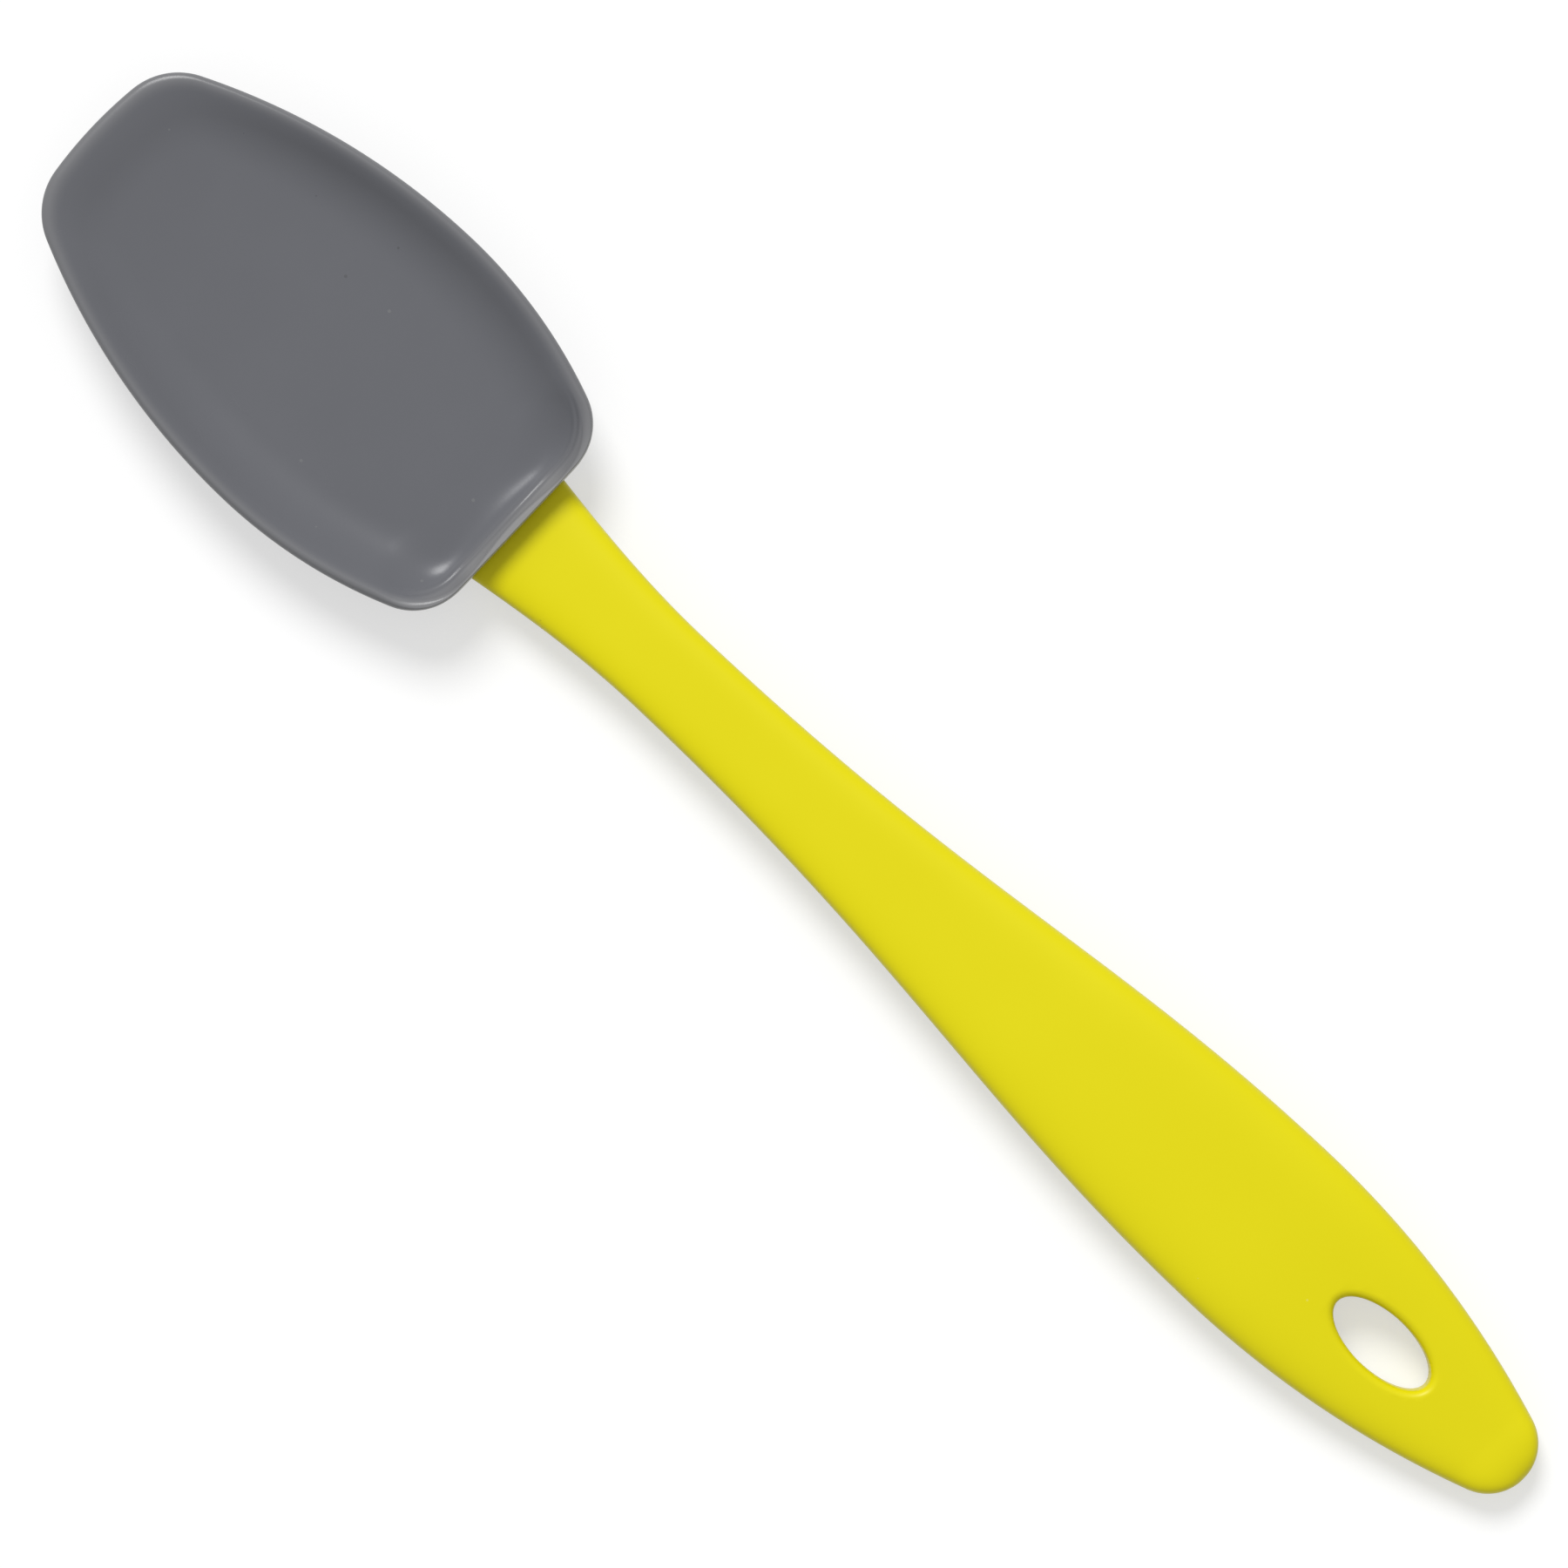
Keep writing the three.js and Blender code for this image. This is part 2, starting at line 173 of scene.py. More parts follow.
handleShape = {
    # outline from above
    "mouthWidth": 17.8, "mouthFlareRun": 8, "mouthFlareTaper": 0.15,
    "neckFromMouth": 27.3, "neckWidth": 12.9, "neckRunIn": 10, "neckRunOut": 50,
    "bellyFromMouth": 134.5, "bellyWidth": 27.1, "bellyRunIn": 39, "tailRadius": 6.7,
    # side view and sections
    "mouthBottom": 1.9, "mouthThickness": 6, "neckThickness": 6, "bellyThickness": 8,
    "tailThickness": 6.4, "archRise": 2,
    "mouthSquareness": 3.6, "gripSquareness": 4, "tailSquareness": 3,
    # tang
    "shankLength": 10, "tangThickness": 3, "tangRootWidth": 14, "tangEndWidth": 10,
    "tangSquareness": 6, "tangEndRound": 0.8,
    "ribCount": 4, "ribHeight": 0.4, "ribRadius": 1.2, "ribEndMargin": 4.5, "ribSideMargin": 2,
    "ribEndFade": 0.8,
    # hanging hole
    "holeLength": 16.2, "holeWidth": 7.6, "holeFromTail": 26.15, "holeEdgeRound": 1.2,
    "holeEdgeSlope": 12, "holeCutReach": 3,
    # fineness of the mesh
    "flareSteps": 40, "swellSteps": 100, "sideSteps": 60,
    "endSteps": 36, "endAngle": 0.04, "endCrowding": 1.5,
    "tangSpacing": 0.2, "tangEndSteps": 8, "tangEndAngle": 0.05,
    "holeSteps": 144, "holeEdgeSteps": 14,
}

tailCentreX = handleReach - handleShape["tailRadius"]
tangBottom = handleShape["mouthBottom"] + handleShape["ribHeight"]
tangTop = tangBottom + handleShape["tangThickness"]
mouthSection = np.array([
    handleShape["mouthWidth"] / 2,
    handleShape["mouthBottom"],
    handleShape["mouthBottom"] + handleShape["mouthThickness"],
    handleShape["mouthSquareness"],
])
tangRoot = np.array([handleShape["tangRootWidth"] / 2, tangBottom, tangTop, handleShape["tangSquareness"]])
tangEnd = np.array([handleShape["tangEndWidth"] / 2, tangBottom, tangTop, handleShape["tangSquareness"]])


def shankShare(x):
    return smoothstep(x, -handleShape["shankLength"], 0)


def tangSection(x):
    # tapers evenly to its end and swells through the shank into the handle's full section
    x = np.asarray(x, float)
    shank = handleShape["shankLength"]
    taper = np.clip((x + shank) / (shank - tangLength), 0, 1)
    return lerp(lerp(tangRoot, tangEnd, taper[..., None]), mouthSection, shankShare(x)[..., None])


def gripOutline():
    # points of x and half width from the mouth to the tail
    s = handleShape
    mouth = (0, s["mouthWidth"] / 2)
    neck = (s["neckFromMouth"], s["neckWidth"] / 2)
    belly = (s["bellyFromMouth"], s["bellyWidth"] / 2)
    flare = bezier([
        mouth,
        (s["mouthFlareRun"], mouth[1] - s["mouthFlareRun"] * s["mouthFlareTaper"]),
        (neck[0] - s["neckRunIn"], neck[1]),
        neck,
    ], s["flareSteps"])
    swell = bezier([
        neck,
        (neck[0] + s["neckRunOut"], neck[1]),
        (belly[0] - s["bellyRunIn"], belly[1]),
        belly,
    ], s["swellSteps"])
    run = tailCentreX - belly[0]
    radius = s["tailRadius"]
    sideRadius = (run ** 2 + belly[1] ** 2 - radius ** 2) / (2 * (belly[1] - radius))
    sideY = belly[1] - sideRadius
    meeting = math.atan2(-sideY, run)
    side = arc((belly[0], sideY, sideRadius), math.pi / 2, meeting, s["sideSteps"])
    # closer together towards the very end
    endAngle = meeting * np.linspace(1, s["endAngle"], s["endSteps"]) ** s["endCrowding"]
    end = np.column_stack([tailCentreX + radius * np.cos(endAngle), radius * np.sin(endAngle)])
    return np.concatenate([flare, swell[1:], side[1:], end[1:]])


def gripThickness(x):
    s = handleShape
    toNeck = smoothstep(x, 0, s["neckFromMouth"])
    toBelly = smoothstep(x, s["neckFromMouth"], s["bellyFromMouth"])
    toTail = smoothstep(x, s["bellyFromMouth"], tailCentreX)
    rise = (s["neckThickness"] - s["mouthThickness"]) * toNeck
    rise = rise + (s["bellyThickness"] - s["neckThickness"]) * toBelly
    return s["mouthThickness"] + rise + (s["tailThickness"] - s["bellyThickness"]) * toTail


def gripMiddle(x):
    # a low arch from the mouth down to the tail, which touches the table
    s = handleShape
    share = np.minimum(x / tailCentreX, 1)
    chord = lerp(s["mouthBottom"] + s["mouthThickness"] / 2, s["tailThickness"] / 2, share)
    return chord + s["archRise"] * (1 - (2 * share - 1) ** 2)


def gripSquareness(x):
    return lerp(handleShape["mouthSquareness"], handleShape["gripSquareness"],
                smoothstep(x, 0, handleShape["neckFromMouth"]))


def gripSection(x, halfWidth):
    power = handleShape["tailSquareness"]
    intoTail = np.clip((x - tailCentreX) / handleShape["tailRadius"], 0, 1)
    halfHeight = gripThickness(x) / 2 * (1 - intoTail ** power) ** (1 / power)
    middle = gripMiddle(x)
    return np.array([halfWidth, middle - halfHeight, middle + halfHeight, gripSquareness(x)])


def ribLift(x, y):
    # how far the half-round ribs stand above the tang's faces
    s = handleShape
    lift = np.zeros_like(y)
    firstX = -s["shankLength"] - s["ribEndMargin"]
    lastX = s["ribEndMargin"] - tangLength
    for ribX in np.linspace(firstX, lastX, s["ribCount"]):
        inside = max(s["ribRadius"] ** 2 - (x - ribX) ** 2, 0)
        height = max(math.sqrt(inside) - s["ribRadius"] + s["ribHeight"], 0)
        ribEnd = tangSection(ribX)[0] - s["ribSideMargin"]
        lift = np.maximum(lift, height * (1 - smoothstep(np.abs(y), ribEnd - s["ribEndFade"], ribEnd)))
    return lift


def tangRings():
    s = handleShape
    endRound, spacing = s["tangEndRound"], s["tangSpacing"]
    middle = (tangBottom + tangTop) / 2
    rings = []
    for angle in np.linspace(s["tangEndAngle"], math.pi / 2, s["tangEndSteps"]):
        shrink = endRound * (1 - math.sin(angle))
        x = -tangLength + endRound * (1 - math.cos(angle))
        rings.append(sectionRing(x, tangSection(x) + [-shrink, shrink, -shrink, 0]))
    for x in np.arange(-tangLength + endRound + spacing, -spacing / 2, spacing):
        ring = sectionRing(x, tangSection(x))
        ring[:, 2] += np.sign(ring[:, 2] - middle) * ribLift(x, ring[:, 1])
        rings.append(ring)
    return rings


def holeCutter():
    # an oval that follows the handle's faces and flares to round both edges
    s = handleShape
    holeX = handleReach - s["holeFromTail"]
    outline = gripOutline()
    angle = np.linspace(0, 2 * math.pi, s["holeSteps"], endpoint=False)
    meetAngle = math.radians(s["holeEdgeSlope"])  # the rounding leaves the face at this slope

    def ring(flare, depth, side):
        x = holeX + (s["holeLength"] / 2 + flare) * np.cos(angle)
        y = (s["holeWidth"] / 2 + flare) * np.sin(angle)
        y[[0, len(y) // 2]] = 0
        halfWidth = np.interp(x, outline[:, 0], outline[:, 1])
        face = gripThickness(x) / 2 * archShare(y, halfWidth, gripSquareness(x))
        return np.column_stack([x, y, gripMiddle(x) + side * (face - depth)])

    def edgeRings(side):
        edge, reach = s["holeEdgeRound"], s["holeCutReach"]
        flare, depth = edge * (1 - math.sin(meetAngle)), edge * (1 - math.cos(meetAngle))
        rings = [ring(flare + reach, depth - reach * math.tan(meetAngle), side)]
        for turn in np.linspace(meetAngle, math.pi / 2, s["holeEdgeSteps"]):
            rings.append(ring(edge * (1 - math.sin(turn)), edge * (1 - math.cos(turn)), side))
        return rings

    rings = edgeRings(1) + edgeRings(-1)[::-1]
    return makeObject("hole_cutter", rings)


def makeHandle(material):
    rings = tangRings()
    rings += [sectionRing(x, gripSection(x, halfWidth)) for x, halfWidth in gripOutline()]
    handle = makeObject("handle_moulding", rings)
    cutAway(handle, holeCutter())
    finishPiece(handle, material, "handle", "handle")
    print("handle moulded:", len(handle.data.polygons), "faces")


# Head: one silicone moulding, a shallow bowl with a keel round the socket

headShape = {
    # outline from above: arcs that run into each other
    "widestFromTip": 46.5, "tipEdgeRadius": 60, "tipCornerRadius": 9.5, "frontSideRadius": 97,
    "rearSideRadius": 69.5, "rearCornerRadius": 8.2, "rearEdgeRadius": 900,
    # bowl
    "bowlDepth": 4, "scoopLength": 38, "tipRimDrop": 0.4, "tipLip": 0.9,
    "floorThickness": 3, "tipThickness": 2.1, "bellyRun": 12.5,
    "rimRound": 1.1, "tipRimRun": 2.2, "rearRimRun": 0.2, "rearLipTilt": 0.16,
    "rimLand": 1.6, "rimInnerRound": 1.5,
    "wallRun": 8.4, "wallHollow": 2.3, "mouthReach": (-9, -1),
    # rear wall: a round curve that bulges forward over the socket
    "rearWallReach": (-10.5, -3.2), "rearWallSpread": (6.5, 21), "rearWallSlope": 6,
    "rearLand": 1.1, "rearWallRun": 5.6,
    "cornerLand": 0.3, "cornerWallRun": 4.3, "bulgeReach": (0, 11),
    # fine groove between two ridges inside the rear lip
    "grooveInset": 1.85, "grooveWidth": 0.4, "grooveSpread": 1.4,
    "grooveDepth": 0.1, "grooveReach": (-9, -2),
    # socket and the keel round it
    "fitClearance": 0.3, "snugGap": 0.08, "socketLipRound": 0.4,
    "socketWall": 1.6, "sideWall": 2.2, "noseWall": 1.8,
    "noseRun": 15, "keelTrim": 0.8, "keelSquareness": 3, "keelBlend": 3, "keelSideSlope": 6,
    "keelFootRound": 0.5, "collarDraft": 0.3, "collarEdgeRound": 0.9,
    # fineness of the mesh: the outline's arcs from tip to mouth, then the rings
    "outlineSteps": (16, 22, 32, 32, 26, 36),
    "undersideSteps": 30, "bellySteps": 46, "rimSteps": 20, "rimSpacing": 0.055, "rimReach": 3,
    "wallSteps": 24, "floorSteps": 28, "middleShare": 0.985,
    "socketSpacing": 0.4, "socketLipSteps": 8, "socketLipTurn": 70,
}

tipX = -headLength
headMiddleX = tipX / 2
floorHeight = rimHeight - headShape["bowlDepth"]
tipRimHeight = rimHeight - headShape["tipRimDrop"]
tipFloorHeight = tipRimHeight - headShape["tipLip"]


def insideFillet(first, second, radius):
    # the circle that lies inside two others and touches both
    fromFirst, fromSecond = first[2] - radius, second[2] - radius
    apart = math.hypot(second[0] - first[0], second[1] - first[1])
    along = (fromFirst ** 2 - fromSecond ** 2 + apart ** 2) / (2 * apart)
    across = math.sqrt(fromFirst ** 2 - along ** 2)
    directionX, directionY = (second[0] - first[0]) / apart, (second[1] - first[1]) / apart
    side = math.copysign(1, directionX)
    return (
        first[0] + along * directionX - side * across * directionY,
        first[1] + along * directionY + side * across * directionX,
        radius,
    )


def headOutline():
    s = headShape
    widestX = tipX + s["widestFromTip"]
    tipEdge = (tipX + s["tipEdgeRadius"], 0, s["tipEdgeRadius"])
    frontSide = (widestX, headWidth / 2 - s["frontSideRadius"], s["frontSideRadius"])
    rearSide = (widestX, headWidth / 2 - s["rearSideRadius"], s["rearSideRadius"])
    rearEdge = (-s["rearEdgeRadius"], 0, s["rearEdgeRadius"])
    tipCorner = insideFillet(tipEdge, frontSide, s["tipCornerRadius"])
    rearCorner = insideFillet(rearEdge, rearSide, s["rearCornerRadius"])

    def towards(circle, target):
        return math.atan2(target[1] - circle[1], target[0] - circle[0])

    turns = [
        (tipEdge, towards(tipEdge, tipCorner)),
        (tipCorner, towards(frontSide, tipCorner)),
        (frontSide, math.pi / 2),
        (rearSide, towards(rearSide, rearCorner)),
        (rearCorner, towards(rearEdge, rearCorner)),
        (rearEdge, 0),
    ]
    start, half = math.pi, []
    for (circle, end), steps in zip(turns, s["outlineSteps"]):
        half.append(arc(circle, start, end, steps)[:-1])
        start = end
    half = np.concatenate(half)
    half[0] = (tipX, 0)
    upper = half[1:]
    return np.concatenate([half, [(0, 0)], upper[::-1] * [1, -1]])


def scoopShare(x):
    return np.clip((tipX + headShape["scoopLength"] - x) / headShape["scoopLength"], 0, 1)


def rimTop(x):
    return lerp(rimHeight, tipRimHeight, scoopShare(x) ** 2)


def floorTop(x):
    return lerp(floorHeight, tipFloorHeight, scoopShare(x) ** 2)


def underside(x):
    return floorTop(x) - lerp(headShape["floorThickness"], headShape["tipThickness"], scoopShare(x))


def socketSection(x, gap):
    ribRoom = handleShape["ribHeight"] * (1 - shankShare(x))
    grow = np.stack([gap + 0 * ribRoom, -gap - ribRoom, gap + ribRoom, 0 * ribRoom], axis=-1)
    return tangSection(x) + grow


def keelFace(x, y):
    # height of the keel's lower face
    s = headShape
    socket = socketSection(x, s["fitClearance"])
    top = socket[..., 2] + s["socketWall"]
    noseX = -tangLength - s["fitClearance"] - s["noseWall"]
    swell = np.sqrt(1 - np.clip((noseX - x) / s["noseRun"], 0, 1) ** 2)
    halfWidth = (socket[..., 0] + s["sideWall"]) * swell
    bottom = lerp(top, -s["keelTrim"], swell)
    arch = (top - bottom) / 2 * archShare(y, halfWidth, s["keelSquareness"])
    outside = np.maximum(np.abs(y) - halfWidth, 0) + np.maximum(noseX - s["noseRun"] - x, 0)
    return smoothMax((top + bottom) / 2 - arch + s["keelSideSlope"] * outside, 0 * x, s["keelFootRound"])


def collarFace(x):
    # the collar's rear wall, with its rounded lower edge
    s = headShape
    edge = s["collarEdgeRound"]
    inward = -x - s["collarDraft"]
    wall = edge - (rimHeight - edge) * np.minimum(inward, 0) / s["collarDraft"]
    corner = edge - np.sqrt(np.maximum(edge ** 2 - np.clip(edge - inward, 0, edge) ** 2, 0))
    return np.where(inward < 0, wall, corner)


def atMouth(x):
    return smoothstep(x, *headShape["mouthReach"])


def rimRun(x):
    # how far in the rim's outer rounding reaches: wide at the tip, narrow at the mouth
    s = headShape
    run = lerp(s["rimRound"], s["tipRimRun"], scoopShare(x) ** 3)
    return lerp(run, s["rearRimRun"], atMouth(x))


def lowerFace(inset, x, y):
    s = headShape
    rise = np.sqrt(1 - (1 - min(inset / s["bellyRun"], 1)) ** 2)
    belly = lerp(rimTop(x) - s["rimRound"], underside(x), rise)
    keel = keelFace(x, y)
    keel = np.cbrt(keel ** 3 + collarFace(x) ** 3)
    return smoothMin(belly, keel, s["keelBlend"])


def wallShare(inset, x, y):
    # how much of the inner wall's height is left: a hollow curve, and at the rear a round one
    s = headShape
    away = np.abs(y)
    rear = smoothstep(x, *s["rearWallReach"]) * (1 - smoothstep(away, *s["rearWallSpread"]))
    corner = smoothstep(away, *s["bulgeReach"])
    rearLand = lerp(s["rearLand"], s["cornerLand"], corner)
    rearRun = lerp(s["rearWallRun"], s["cornerWallRun"], corner)
    left = 1 - (inset - lerp(s["rimLand"], rearLand, rear)) / lerp(s["wallRun"], rearRun, rear)
    inside = np.clip(left, 0, 1)
    share = lerp(inside ** s["wallHollow"], 1 - np.sqrt(1 - inside ** 2), rear)
    return share + lerp(s["wallHollow"], s["rearWallSlope"], rear) * np.maximum(left - 1, 0)


def upperFace(inset, x, y):
    s = headShape
    run = rimRun(x)
    outer = np.maximum(1 - inset / run, 0)
    edge = rimTop(x) - s["rimRound"] * (1 - np.sqrt(1 - outer ** 2))
    edge = edge - s["rearLipTilt"] * atMouth(x) * np.maximum(inset - run, 0)
    bowl = lerp(floorTop(x), rimTop(x), wallShare(inset, x, y))
    across = (inset - s["grooveInset"]) / s["grooveWidth"]
    groove = s["grooveDepth"] * math.cos(math.pi * across) * math.exp(-(across / s["grooveSpread"]) ** 2)
    return smoothMin(edge, bowl, s["rimInnerRound"]) - groove * smoothstep(x, *s["grooveReach"])


# The rim's pale band is painted light in part: a slightly paler silicone tint plus a painted highlight
# where the rim's rounding and the mouth's lip face the lamp
rimTintAndPaintedLight = {
    # insets between which the band fades, beside the bowl and at the tip
    "fadeFrom": (0.6, 0.1), "fadeTo": (2, 3),
    # how pale it is beside the bowl, at the tip and at the mouth, own tint and painted highlight together
    "palenessAndPaintedLight": (0.3, 0.37, 0.45),
    # the mouth's own band, palest in its middle, partly a painted highlight on the lip
    "mouthFade": (0.2, 3.4), "mouthReach": (-6, -0.5), "endsReach": (7, 11), "endsDrop": 0.45,
}


def rimTintAndPaintedLightMask(inset, x, y):
    # how pale the rim is, partly its own tint and partly a painted highlight where the rounding catches the
    # lamp: fading slowly into the bowl at the tip, quickly along the sides, and palest round the mouth
    tone = rimTintAndPaintedLight
    atTip = scoopShare(x) ** 3
    side = 1 - smoothstep(inset, lerp(*tone["fadeFrom"], atTip), lerp(*tone["fadeTo"], atTip))
    mouth = 1 - smoothstep(inset, *tone["mouthFade"])
    ends = 1 - tone["endsDrop"] * smoothstep(np.abs(y), *tone["endsReach"])
    mouth = mouth * smoothstep(x, *tone["mouthReach"]) * ends
    sidePaleAndLit, tipPaleAndLit, mouthPaleAndLit = tone["palenessAndPaintedLight"]
    return np.maximum(lerp(lerp(sidePaleAndLit, tipPaleAndLit, atTip), mouthPaleAndLit, atMouth(x)) * side, mouth)


def headRings():
    # the rings of the head's skin, with the mask of the rim's band (own paler tint and painted highlight)
    # for each of their points
    s = headShape
    outline = headOutline()
    reach = headWidth / 2
    spineShare = 1 - headWidth / headLength
    rings, masks = [], []

    def addRing(inset, face):
        # the outline drawn in by the inset towards the head's middle line
        share = 1 - inset / reach
        x = headMiddleX + (outline[:, 0] - headMiddleX) * lerp(spineShare, 1, share)
        y = outline[:, 1] * share
        rings.append(np.column_stack([x, y, face(inset, x, y)]))
        masks.append(rimTintAndPaintedLightMask(inset, x, y))

    middle = reach * s["middleShare"]
    wallEnd = s["rimLand"] + s["wallRun"]
    quarter = math.pi / 2
    below = [
        np.linspace(middle, s["bellyRun"], s["undersideSteps"])[:-1],
        s["bellyRun"] * (1 - np.sin(np.linspace(0, quarter, s["bellySteps"]))),
    ]
    above = [
        s["rimRound"] * (1 - np.cos(np.linspace(0, quarter, s["rimSteps"])))[1:-1],
        np.arange(s["rimRound"], s["rimReach"], s["rimSpacing"]),
        np.linspace(s["rimReach"], wallEnd, s["wallSteps"])[:-1],
        np.linspace(wallEnd, middle, s["floorSteps"]),
    ]
    for inset in np.concatenate(below):
        addRing(inset, lowerFace)
    for inset in np.concatenate(above):
        addRing(inset, upperFace)
    return rings, np.concatenate(masks)


def socketCutter():
    s = headShape
    lip, gap = s["socketLipRound"], s["snugGap"]
    mouth = socketSection(0, gap)
    rings = [sectionRing(-tangLength - gap, socketSection(-tangLength, gap))]
    for x in np.arange(-tangLength, -lip, s["socketSpacing"]):
        rings.append(sectionRing(x, socketSection(x, gap)))
    for turn in np.linspace(0, math.radians(s["socketLipTurn"]), s["socketLipSteps"]):
        flare = lip * (1 - math.cos(turn))
        rings.append(sectionRing(lip * (math.sin(turn) - 1), mouth + [flare, -flare, flare, 0]))
    rings.append(sectionRing(lip, mouth + [2 * lip, -2 * lip, 2 * lip, 0]))
    return makeObject("socket_cutter", rings)


def makeHead(material):
    rings, mask = headRings()
    head = makeObject("head_moulding", rings)
    # the rim's band, own paler tint and painted highlight, stored on each point
    rim = head.data.attributes.new("rimTintAndPaintedLightBand", "FLOAT", "POINT")
    rim.data.foreach_set("value", mask.astype(np.float32))
    cutAway(head, socketCutter())
    finishPiece(head, material, "silicone_head", "head")
    print("head moulded:", len(head.data.polygons), "faces")


# Shader groups that both materials share

def addNode(tree, kind, place, inputs={}, **settings):
    node = tree.nodes.new(kind)
    node.location = place
    for name, value in settings.items():
        setattr(node, name, value)
    for name, value in inputs.items():
        node.inputs[name].default_value = value
    return node


def newGroup(name, inputs, outputs):
    tree = bpy.data.node_groups.new(name, "ShaderNodeTree")
    for label, value in inputs.items():
        socket = tree.interface.new_socket(label, in_out="INPUT", socket_type="NodeSocketFloat")
        socket.default_value = value
    for label in outputs:
        tree.interface.new_socket(label, in_out="OUTPUT", socket_type="NodeSocketFloat")
    return tree, tree.nodes.new("NodeGroupInput"), tree.nodes.new("NodeGroupOutput")


def mouldedSkinGroup():
    # slow cloudiness of a moulding's tone and gloss, and the fine grain of its tool
    tree, given, result = newGroup(
        "mouldedSkin", {"Cloud Scale": 60, "Grain Scale": 3000}, ["Cloud", "Grain"])
    place = addNode(tree, "ShaderNodeTexCoord", (-600, 0))
    cloud = addNode(tree, "ShaderNodeTexNoise", (-300, 150), {"Detail": 3, "Roughness": 0.55})
    grain = addNode(tree, "ShaderNodeTexNoise", (-300, -150), {"Detail": 2, "Roughness": 0.6})
    for noise, scale in ((cloud, "Cloud Scale"), (grain, "Grain Scale")):
        tree.links.new(place.outputs["Object"], noise.inputs["Vector"])
        tree.links.new(given.outputs[scale], noise.inputs["Scale"])
    tree.links.new(cloud.outputs["Fac"], result.inputs["Cloud"])
    tree.links.new(grain.outputs["Fac"], result.inputs["Grain"])
    return tree


def dustGroup():
    # a few small specks: cells of points, of which only some carry one
    tree, given, result = newGroup(
        "dustSpecks", {"Scale": 110, "Size": 0.03, "Share": 0.3}, ["Light", "Dark"])
    place = addNode(tree, "ShaderNodeTexCoord", (-900, 0))
    cells = addNode(tree, "ShaderNodeTexVoronoi", (-700, 0))
    split = addNode(tree, "ShaderNodeSeparateColor", (-500, -150))
    speck = addNode(tree, "ShaderNodeMath", (-300, 100), operation="LESS_THAN")
    carries = addNode(tree, "ShaderNodeMath", (-300, -100), operation="LESS_THAN")
    shown = addNode(tree, "ShaderNodeMath", (-100, 0), operation="MULTIPLY")
    pale = addNode(tree, "ShaderNodeMath", (-300, -300), {1: 0.5}, operation="GREATER_THAN")  # half of them
    light = addNode(tree, "ShaderNodeMath", (100, 100), operation="MULTIPLY")
    dark = addNode(tree, "ShaderNodeMath", (100, -100), operation="SUBTRACT")
    links = tree.links
    links.new(place.outputs["Object"], cells.inputs["Vector"])
    links.new(given.outputs["Scale"], cells.inputs["Scale"])
    links.new(cells.outputs["Color"], split.inputs["Color"])
    links.new(cells.outputs["Distance"], speck.inputs[0])
    links.new(given.outputs["Size"], speck.inputs[1])
    links.new(split.outputs["Red"], carries.inputs[0])
    links.new(given.outputs["Share"], carries.inputs[1])
    links.new(speck.outputs[0], shown.inputs[0])
    links.new(carries.outputs[0], shown.inputs[1])
    links.new(split.outputs["Green"], pale.inputs[0])
    links.new(shown.outputs[0], light.inputs[0])
    links.new(pale.outputs[0], light.inputs[1])
    links.new(shown.outputs[0], dark.inputs[0])
    links.new(light.outputs[0], dark.inputs[1])
    links.new(light.outputs[0], result.inputs["Light"])
    links.new(dark.outputs[0], result.inputs["Dark"])
    return tree


mouldedSkin = mouldedSkinGroup()
dustSpecks = dustGroup()


def newMaterial(name, inputs):
    material = bpy.data.materials.new(name)
    material.use_nodes = True
    shader = material.node_tree.nodes["Principled BSDF"]
    for label, value in inputs.items():
        shader.inputs[label].default_value = value
    return material, material.node_tree, shader


def placeGroup(tree, group, place, inputs):
    node = addNode(tree, "ShaderNodeGroup", place, node_tree=group)
    for label, value in inputs.items():
        node.inputs[label].default_value = value
    return node


def mixColour(tree, place, mask, first, second, strength=1):
    # first and second are colours or the outputs of other nodes; sockets 6, 7 and 2 are the colour ones
    mix = addNode(tree, "ShaderNodeMix", place, data_type="RGBA")
    scaled = addNode(tree, "ShaderNodeMath", (place[0] - 180, place[1] + 120), {1: strength},
                     operation="MULTIPLY")
    tree.links.new(mask, scaled.inputs[0])
    tree.links.new(scaled.outputs[0], mix.inputs[0])
    for socket, colour in ((mix.inputs[6], first), (mix.inputs[7], second)):
        if isinstance(colour, tuple):
            socket.default_value = (*colour, 1)
        else:
            tree.links.new(colour, socket)
    return mix.outputs[2]


def addSkin(tree, shader, skin, roughness, grainDepth):
    # roughness wanders between two values, and the grain is a bump of that depth in metres
    rough = addNode(tree, "ShaderNodeMapRange", (-250, -150),
                    {"To Min": roughness[0], "To Max": roughness[1]})
    bump = addNode(tree, "ShaderNodeBump", (-250, -420), {"Strength": 1, "Distance": grainDepth})
    tree.links.new(skin.outputs["Cloud"], rough.inputs["Value"])
    tree.links.new(rough.outputs["Result"], shader.inputs["Roughness"])
    tree.links.new(skin.outputs["Grain"], bump.inputs["Height"])
    tree.links.new(bump.outputs["Normal"], shader.inputs["Normal"])


siliconeLook = {
    # rim: the colour of the rim's band, partly the silicone's own paler tone and partly a painted highlight
    "darker": (0.133, 0.136, 0.151), "paler": (0.147, 0.151, 0.166), "rim": (0.275, 0.273, 0.271),
    "lightSpeck": (0.174, 0.178, 0.186), "darkSpeck": (0.112, 0.114, 0.124),
    "specks": {"Scale": 400, "Size": 0.09, "Share": 0.1},
    "skin": {"Cloud Scale": 55, "Grain Scale": 2500},
    "roughness": (0.25, 0.29), "grainDepth": 0.000006, "specular": 0.3,
}


